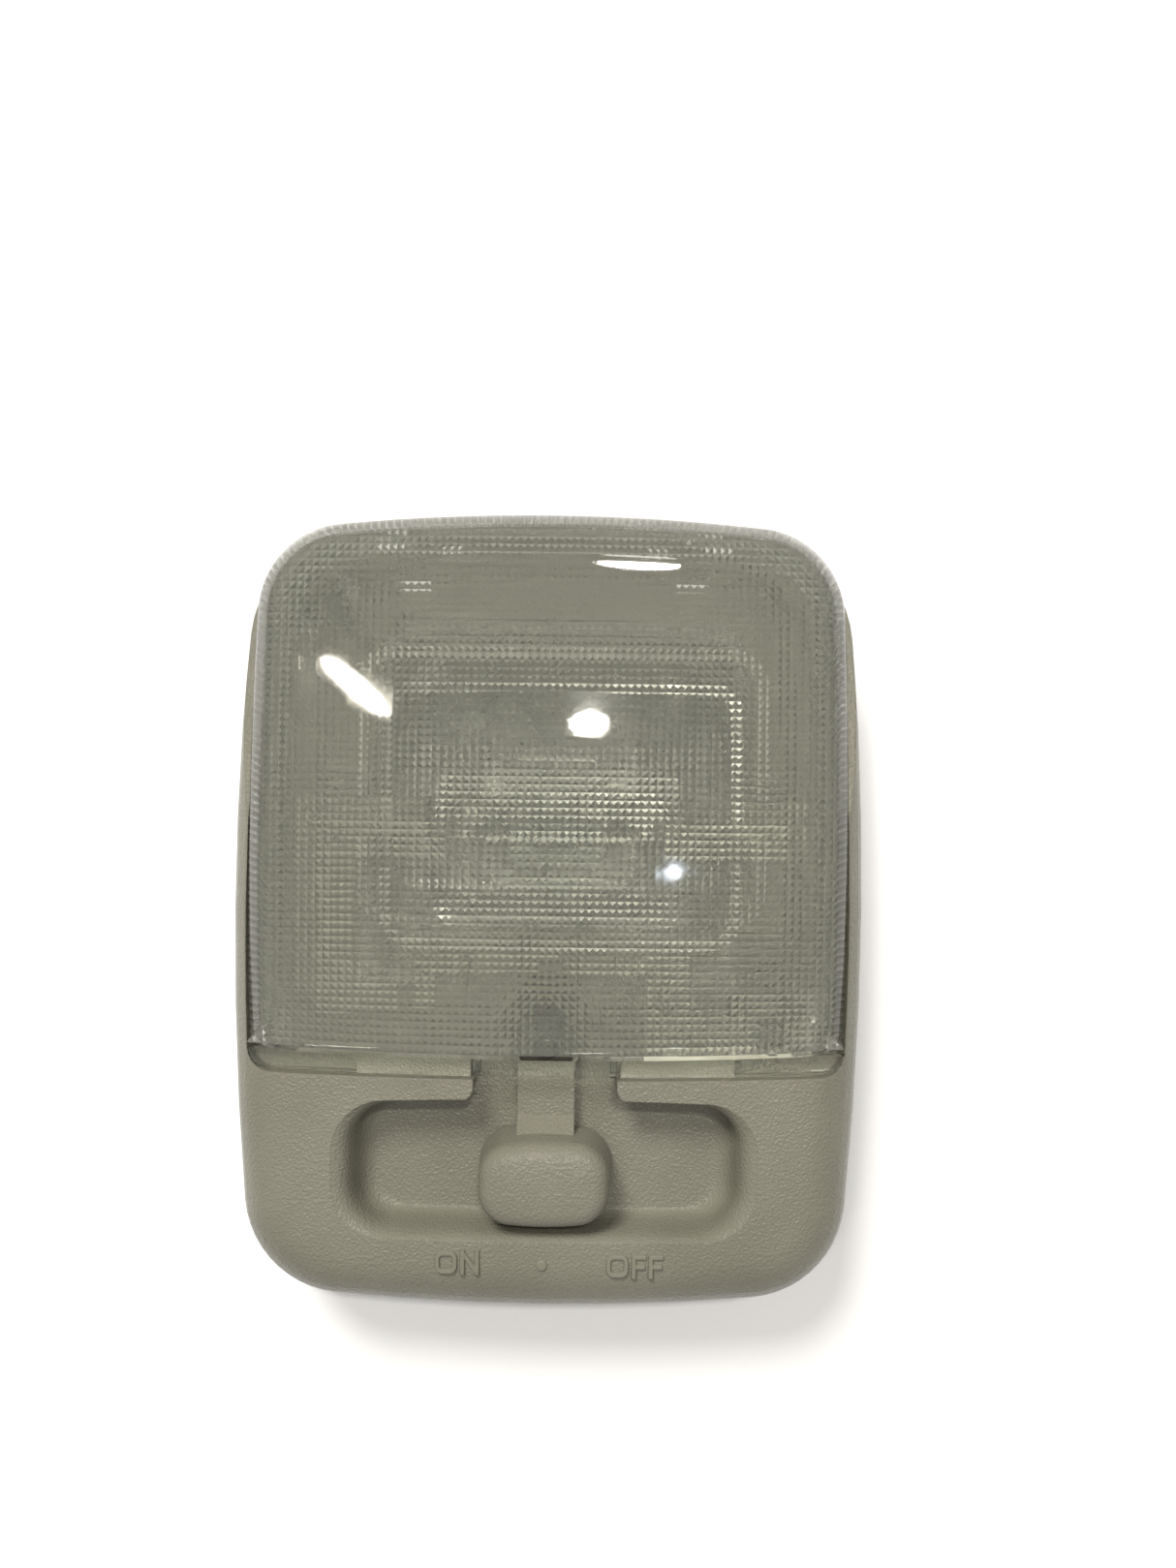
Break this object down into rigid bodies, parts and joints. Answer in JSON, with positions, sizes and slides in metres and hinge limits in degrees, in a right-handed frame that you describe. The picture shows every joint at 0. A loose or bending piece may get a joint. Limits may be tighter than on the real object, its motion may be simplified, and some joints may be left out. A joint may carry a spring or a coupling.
{
  "type": "car dome light",
  "caption": "Flat rounded car ceiling lamp with a clear prismatic lens over a bulb bowl and a thumb recess holding a swinging three-position switch lever.",
  "frame": {"origin": "middle of the footprint, on the plane of the skirt's rear edge", "axes": "+Z out of the lens, +Y towards the lens end, away from the lever, +X to the right when the lens faces the viewer"},
  "size_m": [0.11, 0.1385, 0.032],
  "materials": {
    "bezel_plastic": "moulded, fine leather grain",
    "lens_plastic": "clear moulded, glossy outside, prisms inside",
    "tinned_strip": "stamped, bright",
    "brass_strip": "stamped, slightly tarnished",
    "dark_steel": "dull",
    "bright_tray": "pressed, satin",
    "bulb_glass": "clear"
  },
  "bodies": {
    "case": {"housing": "bezel_plastic", "back_skirt_left": "bezel_plastic", "back_skirt_right": "bezel_plastic", "screw_well": "bezel_plastic", "screw_boss": "bezel_plastic", "connector_shroud": "bezel_plastic", "pivot_rivet": "dark_steel", "pivot_washer": "dark_steel", "earth_strip": "tinned_strip", "feed_strip": "tinned_strip", "door_strip": "tinned_strip", "common_strip": "tinned_strip", "bulb_contact_left": "tinned_strip", "bulb_contact_right": "tinned_strip", "bulb_glass": "bulb_glass", "bulb_filament": "dark_steel", "bulb_cap_left": "tinned_strip", "bulb_cap_right": "tinned_strip", "reflector": "bright_tray", "rivet_bulb_left": "tinned_strip", "rivet_bulb_right": "tinned_strip", "rivet_earth": "tinned_strip", "rivet_door": "tinned_strip"},
    "lever": {"switch_lever": "bezel_plastic", "wiper_contact": "brass_strip"},
    "cover": {"lens": "lens_plastic"}
  },
  "joints": [
    {"name": "lever_swing", "type": "hinge", "parent": "case", "child": "lever", "pos_m": [0, -0.02, 0.0205], "axis": [0, 0, 1], "range_deg": [-21, 21]},
    {"name": "lens_tip", "type": "hinge", "parent": "case", "child": "cover", "pos_m": [0, 0.0673, 0.0177], "axis": [-1, 0, 0], "range_deg": [0, 20]}
  ]
}
